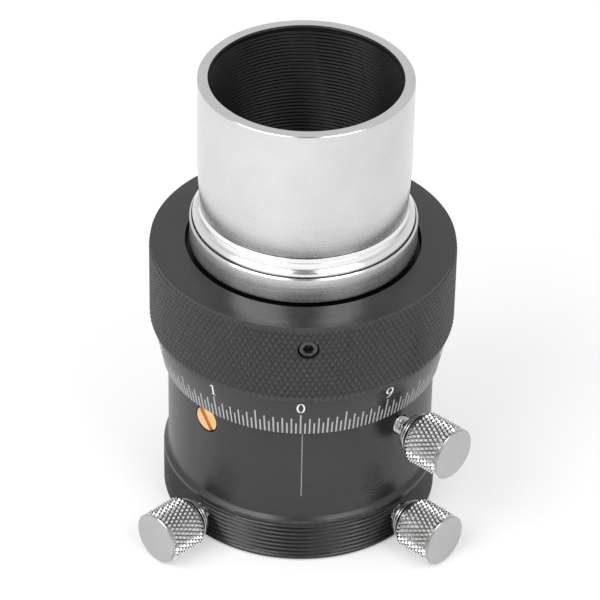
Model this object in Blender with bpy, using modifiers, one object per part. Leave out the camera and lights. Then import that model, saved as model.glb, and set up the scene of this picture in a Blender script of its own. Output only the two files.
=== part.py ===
"""A 1.25 inch helical focuser, standing on its eyepiece end with the nosepiece up.

A black housing holds a keyed drawtube that carries the polished nosepiece. A knurled ring,
captive on the housing's neck, turns a helicoid nut and so raises or lowers the drawtube
without turning it. One thumbscrew locks the drawtube, and two more clamp the eyepiece in the
socket at the bottom. Lengths below are in millimetres, +Z is up along the optical axis, the
origin is on that axis in the bottom face, and -Y runs through the index line.
"""

from math import cos, pi, radians, sin

import bmesh
import bpy
from mathutils import Matrix, Vector

MM = 0.001
MERGE_M = 0.00001

# Facets round a turned piece, and round the small screws.
SIDES = 48
SMALL_SIDES = 20

# Running gap between pieces that move on each other, and seat gap between fixed ones.
RUN = 0.3
SEAT = 0.15

# Housing: threaded flange, body, and the neck that the focus ring turns on.
FLANGE_R = 21.0
FLANGE_TOP = 7.5
FLANGE_CHAMFER = 0.73
BODY_R = 20.26
BODY_TOP = 24.25
NECK_R = 19.5
NECK_TOP = 37.7
HOUSING_BORE_R = 18.4
LEDGE_Z = 8.8
SOCKET_R = 15.95
SOCKET_CHAMFER = 0.6
CLAMP_GROOVE_R = 17.0
CLAMP_GROOVE_Z = (2.4, 6.0)

# Focus ring: a knurled grip, a conical scale sleeve and a nut inside.
GRIP_R = 23.03
GRIP_TOP = 45.18
GRIP_BOTTOM = 31.45
GRIP_CHAMFER = 0.15
MOUTH_R = 17.66
LIP = 1.0
SPIGOT_R = 21.3
SCALE_BOTTOM = 24.55
SCALE_TOP = GRIP_BOTTOM - SEAT
SCALE_BOTTOM_R = 21.11
SCALE_TOP_R = 22.47
SPIGOT_TOP = 35.2
NUT_R = 20.2
NUT_BORE_R = 17.6
NUT_Z = (38.3, 44.05)

# Drawtube and nosepiece. The drawtube rises by TRAVEL in one turn of the ring.
TRAVEL = 10.0
SLIDE_R = 18.2
SLIDE_Z = (9.0, 27.6)
HELICOID_R = 17.4
COLLAR_R = 17.0
COLLAR_Z = (44.6, 49.55)
COLLAR_CHAMFER = 0.25
EYEPIECE_ROOM_R = 16.1
EYEPIECE_STOP_Z = 30.0
TUBE_R = 15.85
TUBE_TOP = 73.46
TUBE_BORE_R = 14.1
TUBE_BASE_R = 15.5
TUBE_BASE_Z = 52.3
TAPER_Z = 59.0
TUBE_SPIGOT_R = 15.0
TUBE_SPIGOT_Z = 42.0
ADAPTER_R = 16.55
ADAPTER_SHOULDER = (16.15, 50.5)
ADAPTER_HUB_R = 15.8
ADAPTER_Z = (49.7, 52.05)

# Fixed brass screw whose tip keeps the drawtube from turning.
GUIDE_AZIMUTH = -44.95
GUIDE_Z = 21.95
GUIDE_HEAD_R = 2.05
GUIDE_FACE = 20.2
GUIDE_FLOOR = 19.2
GUIDE_TIP_R = 1.0
GUIDE_SLOT_TURN = 36.0
GUIDE_SLOT_HALF_WIDTH = 0.42
GUIDE_SLOT_DEPTH = 0.45

# Knurled M3 thumbscrews: azimuth from the index line, height, and reach of the end face.
LOCK_SCREW = (47.0, 20.75, 30.85)
EYEPIECE_SCREWS = {"left": (-46.0, 4.2, 30.38), "right": (46.0, 4.2, 30.38)}
SHANK_R = 1.42
SCREW_HOLE_R = 1.6
HEAD_R = 4.1
HEAD_LENGTH = 8.5
KNURL_LENGTH = 6.7
HEAD_STEPS_R = (3.3, 2.8)

# Grub screws that hold the knurled ring to the nut.
GRUB_COUNT = 3
GRUB_FIRST_AZIMUTH = 1.45
GRUB_Z = 41.25
GRUB_R = 1.4
GRUB_HOLE_R = 1.55
GRUB_REACH = (20.35, 22.6)
HEX_FLATS = 1.5

BLACK = (0.022, 0.022, 0.024)
SILVER = (0.78, 0.79, 0.80)
STEEL = (0.62, 0.62, 0.63)
YELLOW_BRASS = (0.83, 0.56, 0.24)
DARK_STEEL = (0.06, 0.06, 0.065)
WHITE_PLASTIC = (0.86, 0.86, 0.84)


def new_collection(name):
    group = bpy.data.collections.new(name)
    bpy.context.scene.collection.children.link(group)
    return group


def clear_scene():
    for obj in list(bpy.data.objects):
        bpy.data.objects.remove(obj, do_unlink=True)


def surface(name, colour, roughness, metallic):
    material = bpy.data.materials.new(name)
    material.use_nodes = True
    shader = material.node_tree.nodes["Principled BSDF"]
    shader.inputs["Base Color"].default_value = (*colour, 1.0)
    shader.inputs["Roughness"].default_value = roughness
    shader.inputs["Metallic"].default_value = metallic
    return material


def radial_frame(azimuth, height):
    """Local +Z points outward along a radius, local +X points up."""
    outward = Vector((sin(radians(azimuth)), -cos(radians(azimuth)), 0.0))
    up = Vector((0.0, 0.0, 1.0))
    side = outward.cross(up)
    turn = Matrix((up, side, outward)).transposed().to_4x4()
    return Matrix.Translation(Vector((0.0, 0.0, height * MM))) @ turn


def joint_empty(name, matrix):
    empty = bpy.data.objects.new(name, None)
    empty.empty_display_size = 0.01
    empty.matrix_world = matrix
    PARTS.objects.link(empty)
    return empty


def add_part(name, mesh, material, parent=None, matrix=None):
    """An object in the parts collection, placed by its parent empty or by a matrix."""
    obj = bpy.data.objects.new(name, mesh)
    PARTS.objects.link(obj)
    obj.data.materials.append(material)
    if parent is not None:
        obj.parent = parent
    if matrix is not None:
        obj.matrix_basis = matrix
    return obj


def turned(name, outline, material, parent=None, matrix=None, sides=SIDES):
    """A ring or shaft turned about local Z from a closed outline of (radius, height)."""
    mesh = bpy.data.meshes.new(name)
    points = [(radius * MM, 0.0, height * MM) for radius, height in outline]
    closed = [(i, (i + 1) % len(points)) for i in range(len(points))]
    if outline[0][0] == 0.0 and outline[-1][0] == 0.0:
        closed.pop()
    mesh.from_pydata(points, closed, [])
    obj = add_part(name, mesh, material, parent, matrix)
    screw = obj.modifiers.new("turn", "SCREW")
    screw.axis = "Z"
    screw.angle = 2 * pi
    screw.steps = sides
    screw.render_steps = sides
    screw.use_merge_vertices = True
    screw.merge_threshold = MERGE_M
    return obj


def cutter(name, mesh, matrix):
    obj = bpy.data.objects.new(name, mesh)
    CUTTERS.objects.link(obj)
    obj.matrix_world = matrix
    obj.display_type = "WIRE"
    obj.hide_render = True
    return obj


def round_cutter(name, radius, reach, matrix, sides=SMALL_SIDES):
    """A cylinder along local Z from reach[0] to reach[1]."""
    mesh = bpy.data.meshes.new(name)
    bm = bmesh.new()
    length = reach[1] - reach[0]
    middle = Matrix.Translation((0.0, 0.0, (reach[0] + length / 2) * MM))
    bmesh.ops.create_cone(
        bm,
        cap_ends=True,
        segments=sides,
        radius1=radius * MM,
        radius2=radius * MM,
        depth=length * MM,
        matrix=middle,
    )
    bm.to_mesh(mesh)
    bm.free()
    return cutter(name, mesh, matrix)


def box_cutter(name, low, high, matrix):
    """A block between two opposite corners given in the local frame."""
    mesh = bpy.data.meshes.new(name)
    bm = bmesh.new()
    size = [(b - a) * MM for a, b in zip(low, high)]
    centre = Vector([(a + b) / 2 * MM for a, b in zip(low, high)])
    scale = Matrix.Diagonal((*size, 1.0))
    bmesh.ops.create_cube(bm, size=1.0, matrix=Matrix.Translation(centre) @ scale)
    bm.to_mesh(mesh)
    bm.free()
    return cutter(name, mesh, matrix)


def cut(obj, *tools):
    for tool in tools:
        boolean = obj.modifiers.new(tool.name, "BOOLEAN")
        boolean.operation = "DIFFERENCE"
        boolean.solver = "EXACT"
        boolean.object = tool


def build_housing():
    """Flange, body and neck in one piece, with the eyepiece socket and every screw hole."""
    groove_low, groove_high = CLAMP_GROOVE_Z
    shell = turned(
        "body_shell",
        [
            (NECK_R, NECK_TOP),
            (NECK_R, BODY_TOP),
            (BODY_R, BODY_TOP),
            (BODY_R, FLANGE_TOP + FLANGE_CHAMFER),
            (FLANGE_R, FLANGE_TOP),
            (FLANGE_R, SOCKET_CHAMFER),
            (FLANGE_R - SOCKET_CHAMFER, 0.0),
            (SOCKET_R + SOCKET_CHAMFER, 0.0),
            (SOCKET_R, SOCKET_CHAMFER),
            (SOCKET_R, groove_low),
            (CLAMP_GROOVE_R, groove_low),
            (CLAMP_GROOVE_R, groove_high),
            (SOCKET_R, groove_high),
            (SOCKET_R, LEDGE_Z),
            (HOUSING_BORE_R, LEDGE_Z),
            (HOUSING_BORE_R, NECK_TOP),
        ],
        BLACK_ANODISED,
    )
    for side, (azimuth, height, _) in EYEPIECE_SCREWS.items():
        frame = radial_frame(azimuth, height)
        cut(shell, round_cutter(f"hole_{side}", SCREW_HOLE_R, (16.5, 22.0), frame))
    lock_frame = radial_frame(*LOCK_SCREW[:2])
    cut(shell, round_cutter("hole_lock", SCREW_HOLE_R, (17.5, 22.0), lock_frame))
    guide_frame = radial_frame(GUIDE_AZIMUTH, GUIDE_Z)
    cut(
        shell,
        round_cutter("guide_recess", GUIDE_HEAD_R + SEAT, (GUIDE_FLOOR, 22.0), guide_frame),
        round_cutter("guide_hole", GUIDE_TIP_R + 0.35, (17.5, 21.0), guide_frame),
    )


def build_guide_screw():
    """Slotted cheese-head screw; its tip stands in the drawtube's keyway."""
    neck_r = GUIDE_TIP_R + 0.2
    screw = turned(
        "guide_screw",
        [
            (0.0, GUIDE_FACE),
            (GUIDE_HEAD_R - 0.15, GUIDE_FACE),
            (GUIDE_HEAD_R, GUIDE_FACE - 0.15),
            (GUIDE_HEAD_R, GUIDE_FLOOR + SEAT),
            (neck_r, GUIDE_FLOOR + SEAT),
            (neck_r, HOUSING_BORE_R),
            (GUIDE_TIP_R, HOUSING_BORE_R),
            (GUIDE_TIP_R, 17.6),
            (0.0, 17.6),
        ],
        BRASS,
        matrix=radial_frame(GUIDE_AZIMUTH, GUIDE_Z),
        sides=SMALL_SIDES,
    )
    slot = box_cutter(
        "guide_slot",
        (-3.0, -GUIDE_SLOT_HALF_WIDTH, GUIDE_FACE - GUIDE_SLOT_DEPTH),
        (3.0, GUIDE_SLOT_HALF_WIDTH, GUIDE_FACE + 1.0),
        radial_frame(GUIDE_AZIMUTH, GUIDE_Z) @ Matrix.Rotation(radians(GUIDE_SLOT_TURN), 4, "Z"),
    )
    cut(screw, slot)


def build_compression_ring():
    """Split brass ring in the socket's groove, squeezed by the two eyepiece screws."""
    low, high = CLAMP_GROOVE_Z
    ring = turned(
        "compression_ring",
        [
            (CLAMP_GROOVE_R - 0.25, high - 0.2),
            (CLAMP_GROOVE_R - 0.25, low + 0.2),
            (SOCKET_R + 0.1, low + 0.2),
            (SOCKET_R + 0.1, high - 0.2),
        ],
        BRASS,
    )
    gap = box_cutter("ring_gap", (-1.0, 15.0, 0.0), (1.0, 18.0, 8.0), Matrix.Identity(4))
    cut(ring, gap)


def build_ring_bearing():
    """Retaining ring on the neck's top, over a plastic thrust washer."""
    washer_low = SPIGOT_TOP + SEAT
    washer_high = washer_low + 0.5
    turned(
        "thrust_washer",
        [
            (SPIGOT_R - 0.4, washer_high),
            (SPIGOT_R - 0.4, washer_low),
            (NECK_R + SEAT, washer_low),
            (NECK_R + SEAT, washer_high),
        ],
        PTFE,
    )
    ring_low = washer_high + SEAT
    ring = turned(
        "retaining_ring",
        [
            (SPIGOT_R - 0.5, NECK_TOP),
            (SPIGOT_R - 0.5, ring_low),
            (NECK_R + SEAT, ring_low),
            (NECK_R + SEAT, NECK_TOP),
        ],
        BLACK_ANODISED,
    )
    for number, angle in enumerate((0.0, pi)):
        slot = box_cutter(
            f"spanner_slot_{number}",
            (-0.8, 19.0, NECK_TOP - 0.8),
            (0.8, 22.0, NECK_TOP + 1.0),
            Matrix.Rotation(angle, 4, "Z"),
        )
        cut(ring, slot)


def build_focus_ring(axis):
    """Knurled grip, conical scale sleeve, helicoid nut and the grub screws that join them."""
    grip = turned(
        "knurled_ring",
        [
            (GRIP_R - GRIP_CHAMFER, GRIP_TOP),
            (GRIP_R, GRIP_TOP - GRIP_CHAMFER),
            (GRIP_R, GRIP_BOTTOM),
            (SPIGOT_R + 0.2, GRIP_BOTTOM),
            (SPIGOT_R + 0.2, SPIGOT_TOP + 0.2),
            (SPIGOT_R - 0.2, SPIGOT_TOP + 0.2),
            (SPIGOT_R - 0.2, NUT_Z[0] - 0.2),
            (NUT_R + 0.2, NUT_Z[0] - 0.2),
            (NUT_R + 0.2, GRIP_TOP - LIP),
            (MOUTH_R, GRIP_TOP - LIP),
            (MOUTH_R, GRIP_TOP),
        ],
        BLACK_ANODISED,
        parent=axis,
    )
    turned(
        "scale_sleeve",
        [
            (SPIGOT_R, SPIGOT_TOP),
            (SPIGOT_R, SCALE_TOP),
            (SCALE_TOP_R, SCALE_TOP),
            (SCALE_BOTTOM_R, SCALE_BOTTOM),
            (NECK_R + RUN, SCALE_BOTTOM),
            (NECK_R + RUN, SPIGOT_TOP),
        ],
        BLACK_ANODISED,
        parent=axis,
    )
    turned(
        "helicoid_nut",
        [
            (NUT_R, NUT_Z[1]),
            (NUT_R, NUT_Z[0]),
            (NUT_BORE_R, NUT_Z[0]),
            (NUT_BORE_R, NUT_Z[1]),
        ],
        BRASS,
        parent=axis,
    )
    for number in range(GRUB_COUNT):
        azimuth = GRUB_FIRST_AZIMUTH + number * 360 / GRUB_COUNT
        frame = radial_frame(azimuth, GRUB_Z)
        hole = round_cutter(f"grub_hole_{number + 1}", GRUB_HOLE_R, (19.5, 24.0), frame)
        cut(grip, hole)
        build_grub_screw(f"ring_set_screw_{number + 1}", frame, axis)


def build_grub_screw(name, frame, axis):
    """Headless screw with a hexagon socket in its outer end."""
    tip, face = GRUB_REACH
    screw = turned(
        name,
        [
            (0.0, face),
            (GRUB_R - 0.15, face),
            (GRUB_R, face - 0.15),
            (GRUB_R, tip + 0.4),
            (GRUB_R - 0.4, tip),
            (0.0, tip),
        ],
        SCREW_BLACK,
        parent=axis,
        matrix=frame,
        sides=SMALL_SIDES,
    )
    hex_r = HEX_FLATS / 2 / cos(pi / 6)
    cut(screw, round_cutter(f"{name}_hex", hex_r, (face - 1.1, face + 1.0), frame, sides=6))


def build_drawtube(axis):
    """Keyed sliding tube with the male helicoid on its upper part."""
    low, high = SLIDE_Z
    tube = turned(
        "drawtube",
        [
            (COLLAR_R - COLLAR_CHAMFER, COLLAR_Z[1]),
            (COLLAR_R, COLLAR_Z[1] - COLLAR_CHAMFER),
            (COLLAR_R, COLLAR_Z[0]),
            (HELICOID_R, COLLAR_Z[0] - 0.4),
            (HELICOID_R, high + 0.4),
            (SLIDE_R, high - 0.4),
            (SLIDE_R, low),
            (EYEPIECE_ROOM_R, low),
            (EYEPIECE_ROOM_R, EYEPIECE_STOP_Z),
            (TUBE_BORE_R + 0.8, EYEPIECE_STOP_Z),
            (TUBE_BORE_R + 0.8, TUBE_SPIGOT_Z - 0.2),
            (TUBE_SPIGOT_R + 0.2, TUBE_SPIGOT_Z - 0.2),
            (TUBE_SPIGOT_R + 0.2, COLLAR_Z[1]),
        ],
        ALUMINIUM,
        parent=axis,
    )
    half = GUIDE_TIP_R + 0.2
    keyway = box_cutter(
        "keyway",
        (-half - TRAVEL - 0.5, -half, 17.3),
        (half, half, 20.0),
        radial_frame(GUIDE_AZIMUTH, GUIDE_Z),
    )
    cut(tube, keyway)


def build_nosepiece(axis):
    """Polished 1.25 inch tube, screwed into the drawtube through a stepped adapter ring."""
    turned(
        "nosepiece_barrel",
        [
            (TUBE_R - 0.25, TUBE_TOP),
            (TUBE_R, TUBE_TOP - 0.25),
            (TUBE_R, TAPER_Z),
            (TUBE_BASE_R, TUBE_BASE_Z),
            (TUBE_SPIGOT_R, TUBE_BASE_Z - 0.05),
            (TUBE_SPIGOT_R, TUBE_SPIGOT_Z),
            (TUBE_BORE_R, TUBE_SPIGOT_Z),
            (TUBE_BORE_R, TUBE_TOP - 0.25),
            (TUBE_BORE_R + 0.25, TUBE_TOP),
        ],
        ALUMINIUM,
        parent=axis,
    )
    low, high = ADAPTER_Z
    shoulder_r, shoulder_z = ADAPTER_SHOULDER
    turned(
        "adapter_ring",
        [
            (ADAPTER_HUB_R, high),
            (ADAPTER_HUB_R, shoulder_z),
            (shoulder_r, shoulder_z),
            (ADAPTER_R, low + 0.35),
            (ADAPTER_R, low),
            (TUBE_SPIGOT_R + 0.2, low),
            (TUBE_SPIGOT_R + 0.2, high),
        ],
        ALUMINIUM,
        parent=axis,
    )


def build_thumbscrew(name, pad_name, place, pad_reach):
    """Knurled-head M3 screw that turns on a pad, with both on one radial joint axis."""
    azimuth, height, face = place
    axis = joint_empty(f"{name}_axis", radial_frame(azimuth, height))
    back = face - HEAD_LENGTH
    large_r, small_r = HEAD_STEPS_R
    turned(
        name,
        [
            (0.0, face),
            (HEAD_R - 0.2, face),
            (HEAD_R, face - 0.2),
            (HEAD_R, face - KNURL_LENGTH),
            (large_r, face - KNURL_LENGTH - 0.3),
            (large_r, back + 0.75),
            (small_r, back + 0.75),
            (small_r, back),
            (SHANK_R, back),
            (SHANK_R, pad_reach[1] + SEAT),
            (0.0, pad_reach[1] + SEAT),
        ],
        NICKEL,
        parent=axis,
        sides=24,
    )
    turned(
        pad_name,
        [
            (0.0, pad_reach[1]),
            (SHANK_R - 0.2, pad_reach[1]),
            (SHANK_R - 0.2, pad_reach[0]),
            (0.0, pad_reach[0]),
        ],
        BRASS,
        parent=axis,
        sides=SMALL_SIDES,
    )


clear_scene()
PARTS = new_collection("helical_focuser")
CUTTERS = new_collection("cutters")

BLACK_ANODISED = surface("black_anodised", BLACK, 0.42, 0.6)
ALUMINIUM = surface("polished_aluminium", SILVER, 0.22, 1.0)
NICKEL = surface("nickel_plate", STEEL, 0.25, 1.0)
BRASS = surface("brass", YELLOW_BRASS, 0.3, 1.0)
SCREW_BLACK = surface("black_oxide_steel", DARK_STEEL, 0.45, 0.9)
PTFE = surface("white_ptfe", WHITE_PLASTIC, 0.5, 0.0)

build_housing()
build_guide_screw()
build_compression_ring()
build_ring_bearing()
build_focus_ring(joint_empty("focus_ring_axis", Matrix.Identity(4)))
DRAWTUBE_AXIS = joint_empty("drawtube_axis", Matrix.Identity(4))
build_drawtube(DRAWTUBE_AXIS)
build_nosepiece(DRAWTUBE_AXIS)
build_thumbscrew("focus_lock_thumbscrew", "focus_lock_pad", LOCK_SCREW, (18.5, 19.4))
for side, place in EYEPIECE_SCREWS.items():
    build_thumbscrew(f"eyepiece_thumbscrew_{side}", f"clamp_pad_{side}", place, (17.05, 18.2))
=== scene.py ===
from collections import namedtuple
from math import cos, floor, hypot, pi, radians, sin

import bmesh
import bpy
from mathutils import Matrix, Vector


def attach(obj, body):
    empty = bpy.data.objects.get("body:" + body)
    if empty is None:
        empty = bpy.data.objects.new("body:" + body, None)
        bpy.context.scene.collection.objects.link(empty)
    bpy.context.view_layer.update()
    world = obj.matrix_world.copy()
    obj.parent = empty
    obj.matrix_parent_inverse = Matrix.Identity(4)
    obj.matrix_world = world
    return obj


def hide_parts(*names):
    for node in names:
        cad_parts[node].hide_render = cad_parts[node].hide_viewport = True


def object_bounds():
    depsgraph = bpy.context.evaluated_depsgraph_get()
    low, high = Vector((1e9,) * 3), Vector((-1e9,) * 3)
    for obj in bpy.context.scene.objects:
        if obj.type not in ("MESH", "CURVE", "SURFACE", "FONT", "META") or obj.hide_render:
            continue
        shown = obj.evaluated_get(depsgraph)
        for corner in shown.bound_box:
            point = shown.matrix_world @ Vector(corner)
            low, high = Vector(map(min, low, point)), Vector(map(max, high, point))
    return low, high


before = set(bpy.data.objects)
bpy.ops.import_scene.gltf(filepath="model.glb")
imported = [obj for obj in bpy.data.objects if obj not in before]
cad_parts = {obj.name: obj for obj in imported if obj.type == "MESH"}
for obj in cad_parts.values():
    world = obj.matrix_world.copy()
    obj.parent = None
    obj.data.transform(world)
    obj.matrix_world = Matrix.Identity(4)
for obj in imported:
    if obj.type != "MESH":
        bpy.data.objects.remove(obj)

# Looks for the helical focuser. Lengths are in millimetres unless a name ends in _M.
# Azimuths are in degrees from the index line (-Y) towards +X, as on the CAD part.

CAD_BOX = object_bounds()
MM = 0.001

# Gap between pieces that fit inside one another.
HIDDEN_GAP = 0.2

# Housing.
FLANGE_R = 21.0
FLANGE_TOP = 7.5
FLANGE_CHAMFER = 0.73
BODY_R = 20.26
BODY_TOP = 24.25
NECK_R = 19.5
NECK_TOP = 37.7
HOUSING_BORE_R = 18.4
LEDGE_Z = 8.8
SOCKET_R = 15.95
CLAMP_GROOVE_R = 17.0
CLAMP_GROOVE_Z = (2.4, 6.0)
FLANGE_THREAD_Z = (7.1, 0.5)
FLANGE_THREAD_PITCH = 0.75

# Focus ring.
GRIP_R = 23.03
GRIP_TOP = 45.18
GRIP_BOTTOM = 31.45
MOUTH_R = 17.66
LIP = 1.0
SPIGOT_R = 21.3
SPIGOT_TOP = 35.2
SCALE_BOTTOM = 24.55
SCALE_TOP = 31.3
SCALE_BOTTOM_R = 21.11
SCALE_TOP_R = 22.47
NUT_R = 20.2
NUT_BORE_R = 17.6
NUT_Z = (38.3, 44.05)
KNURL_GROOVES = 156
KNURL_ROWS = 16
KNURL_DEPTH = 0.25

# Scale: 200 divisions, a long mark every 10, a medium one every 2, a number at every 20.
SCALE_ZERO_AZIMUTH = -0.85
DIVISIONS = 200
MARK_LENGTHS = {"long": 4.2, "medium": 3.34, "short": 2.31}
NUMBER_HEIGHT_ON_CONE = 5.66
NUMBER_SQUASH = 0.857
MARK_WIDTH = 0.23
MARK_START = 0.03
INDEX_WIDTH = 0.17
INDEX_REACH = (-0.1, -12.2)

# Drawtube and nosepiece.
TRAVEL = 10.0
SLIDE_R = 18.2
SLIDE_Z = (9.0, 27.6)
HELICOID_R = 17.4
HELICOID_STARTS = 10
COLLAR_R = 17.0
COLLAR_Z = (44.6, 49.55)
COLLAR_CHAMFER = 0.25
COLLAR_FOOT_Z = 45.5
UNDERCUT_R = 16.0
EYEPIECE_ROOM_R = 16.1
EYEPIECE_STOP_Z = 30.0
TUBE_R = 15.85
TUBE_TOP = 73.46
TUBE_BORE_R = 14.1
TUBE_BASE_R = 15.5
TUBE_BASE_Z = 52.3
TAPER_Z = 59.0
TUBE_SPIGOT_R = 15.0
TUBE_SPIGOT_Z = 42.0
FILTER_PITCH = 0.6
FILTER_THREAD_FOOT = 50.0
ADAPTER_R = 16.55
ADAPTER_SHOULDER = (16.15, 50.5)
ADAPTER_HUB_R = 15.8
ADAPTER_Z = (49.7, 52.05)

# Guide screw.
GUIDE_AZIMUTH = -44.95
GUIDE_Z = 21.95
GUIDE_HEAD_R = 2.05
GUIDE_FACE = 20.2
GUIDE_FLOOR = 19.2
GUIDE_TIP_R = 1.0
GUIDE_TIP_REACH = 17.6
GUIDE_SLOT_TURN = 36.0
GUIDE_SLOT_HALF_WIDTH = 0.42
GUIDE_SLOT_DEPTH = 0.45

# Thumbscrews: azimuth, height, and distance from the axis to the head's face. Each one's shank
# starts where the pad in front of its tip ends.
LOCK_SCREW = (47.0, 20.75, 30.85)
EYEPIECE_SCREWS = {"left": (-46.0, 4.2, 30.38), "right": (46.0, 4.2, 30.38)}
LOCK_PAD_END = 19.4
EYEPIECE_PAD_END = 18.2
SHANK_R = 1.42
SHANK_PITCH = 0.5
SCREW_HOLE_R = 1.6
HEAD_R = 4.1
HEAD_LENGTH = 8.5
HEAD_KNURL_LENGTH = 6.7
HEAD_GROOVES = 34
HEAD_ROWS = 9
HEAD_KNURL_DEPTH = 0.42

# Grub screws in the focus ring.
GRUB_COUNT = 3
GRUB_FIRST_AZIMUTH = 1.45
GRUB_Z = 41.25
GRUB_R = 1.36
GRUB_HOLE_R = 1.62
GRUB_REACH = (20.35, 22.6)
HEX_FLATS = 1.5

# Studio: brightness of the walls and of the dim patch high in front, the patch's elevation and
# its inner and outer radius in degrees, the light that the floor gives off on the left and on the
# right, and how far out that is reached, in metres.
SKY = (0.84, 0.10)
DIM_PATCH_ELEVATION = 60.0
DIM_PATCH_RADII = (14.0, 20.0)
FLOOR_GLOW = (0.40, 0.32)
FLOOR_GLOW_REACH_M = 0.12
FLOOR_HALF_WIDTH_M = 4.0

# Soft boxes: azimuth, elevation, distance and size in metres, and power in watts.
SOFT_BOXES = {
    "key_left": (-49.0, 46.0, 0.45, (0.35, 0.22), 1.15),
    "key_right": (41.0, 46.0, 0.45, (0.24, 0.22), 0.66),
}

# Camera: a long lens that looks 36 degrees down, its place before it swings round the object's
# axis, and its turns in degrees.
CAMERA_LENS = 217.19
CAMERA_PLACE_M = (0.0, -0.44264, 0.35442)
CAMERA_SWING = -1.25
CAMERA_PAN = -1.21
CAMERA_TILT = 54.07
CAMERA_ROLL = 1.12

# Columns round a turned piece.
COLUMNS = 240
SMALL_COLUMNS = 60

# One circle of a turned surface. groove is the thread depth there, paint the material of the
# surface from this circle to the next, and wear how exposed the metal is, from 0 to 1.
Row = namedtuple("Row", "r z groove paint wear", defaults=(0.0, 0, 0.0))
Thread = namedtuple("Thread", "pitch starts hand", defaults=(1, 1))
# Knurling from row number start to the next: rows of pyramids, flat being the half width of
# their cut tops as a share of a cell.
Band = namedtuple("Band", "start peak_r depth rows flat paint")


# ---------------------------------------------------------------- outlines and meshes

def rounded(corners, steps=3, paint=0):
    """Rows along a closed outline of (radius, height, rounding), with each corner rounded."""
    rows = []
    count = len(corners)
    for i, (r, z, rounding) in enumerate(corners):
        here = Vector((r, z))
        before = Vector(corners[i - 1][:2]) - here
        after = Vector(corners[(i + 1) % count][:2]) - here
        if rounding == 0.0:
            rows.append(Row(r, z, paint=paint))
            continue
        reach = min(rounding, 0.45 * before.length, 0.45 * after.length)
        outer = before.x * after.y - before.y * after.x > 0
        start = here + before.normalized() * reach
        end = here + after.normalized() * reach
        for step in range(steps + 1):
            t = step / steps
            spot = start * (1 - t) ** 2 + here * 2 * t * (1 - t) + end * t * t
            wear = 4 * t * (1 - t) if outer else 0.0
            rows.append(Row(spot.x, spot.y, paint=paint, wear=wear))
    return rows


def threaded(radius, z_from, z_to, pitch, depth, paint=0, samples=10, run_out=0.7):
    """Rows down or up a threaded length, its grooves fading out at both ends."""
    length = abs(z_to - z_from)
    count = max(2, round(length / pitch * samples))
    rows = []
    for i in range(count + 1):
        t = i / count
        to_end = min(t, 1 - t) * length
        fade = min(1.0, to_end / (run_out * pitch))
        rows.append(Row(radius, z_from + (z_to - z_from) * t, depth * fade, paint, 0.0))
    return rows


def thread_depth(thread, z, turn):
    """0 on a crest and 1 in a root, for a height and a share of a turn."""
    phase = z / thread.pitch - thread.hand * thread.starts * turn
    distance = abs(phase - floor(phase + 0.5)) * 2
    return min(1.0, max(0.0, (distance - 0.14) / 0.74))


def add_circle(bm, row, columns, thread, wear):
    """The vertices of one row, or the single vertex of a row on the axis."""
    if row.r == 0.0:
        pole = bm.verts.new((0.0, 0.0, row.z * MM))
        pole[wear] = row.wear
        return [pole]
    circle = []
    for i in range(columns):
        turn = i / columns
        depth = thread_depth(thread, row.z, turn) if row.groove else 0.0
        radius = (row.r - row.groove * depth) * MM
        angle = 2 * pi * turn
        vert = bm.verts.new((radius * cos(angle), radius * sin(angle), row.z * MM))
        vert[wear] = row.wear if not row.groove else 0.55 * (1 - depth)
        circle.append(vert)
    return circle


def join_circles(bm, upper, lower, paint):
    """The faces between two circles, either of which may be a single vertex."""
    count = max(len(upper), len(lower))
    for i in range(count):
        j = (i + 1) % count
        if len(upper) == 1:
            corners = (upper[0], lower[i], lower[j])
        elif len(lower) == 1:
            corners = (upper[i], lower[0], upper[j])
        else:
            corners = (upper[i], lower[i], lower[j], upper[j])
        bm.faces.new(corners).material_index = paint


def knurl_cell(bm, grid, tops, m, k, columns, paint):
    """The two facets of one lattice cell, split along the groove that crosses it."""
    n = (m + 1) % columns
    corners = {(0, 0): (m, k), (1, 0): (n, k), (1, 1): (n, k + 1), (0, 1): (m, k + 1)}
    high = ((0, 0), (1, 1)) if (m + k) % 2 else ((1, 0), (0, 1))
    for corner in high:
        m_k = corners[corner]
        sideways = "right" if corner[0] == 0 else "left"
        upright = "down" if corner[1] == 0 else "up"
        beside = (1 - corner[0], corner[1])
        beyond = (corner[0], 1 - corner[1])
        if m_k in tops:
            peak = tops[m_k]
            face = (peak[sideways], grid[corners[beside]], grid[corners[beyond]], peak[upright])
        else:
            face = (grid[m_k], grid[corners[beside]], grid[corners[beyond]])
        if corner[0] == corner[1]:
            face = tuple(reversed(face))
        bm.faces.new(face).material_index = paint


def knurl(bm, upper, lower, z_upper, z_lower, band, wear):
    """Diamond knurling between two circles: pyramids with small flat tops."""
    columns = len(upper)
    step = 2 * pi / columns
    rows = band.rows
    flat = band.flat
    bottom_r = band.peak_r - band.depth

    def vertex(m, k, radius, exposed):
        z = z_upper + (z_lower - z_upper) * k / rows
        spot = (radius * MM * cos(m * step), radius * MM * sin(m * step), z * MM)
        vert = bm.verts.new(spot)
        vert[wear] = exposed
        return vert

    grid = {}
    tops = {}
    for m in range(columns):
        grid[m, 0] = upper[m]
        grid[m, rows] = lower[m]
    for k in range(1, rows):
        for m in range(columns):
            if (m + k) % 2 == 0:
                grid[m, k] = vertex(m, k, bottom_r, 0.0)
                continue
            tops[m, k] = {
                "left": vertex(m - flat, k, band.peak_r, 1.0),
                "right": vertex(m + flat, k, band.peak_r, 1.0),
                "up": vertex(m, k - flat, band.peak_r, 1.0),
                "down": vertex(m, k + flat, band.peak_r, 1.0),
            }
            peak = tops[m, k]
            top = (peak["up"], peak["left"], peak["down"], peak["right"])
            bm.faces.new(top).material_index = band.paint
    for k in range(rows):
        for m in range(columns):
            knurl_cell(bm, grid, tops, m, k, columns, band.paint)


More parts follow.
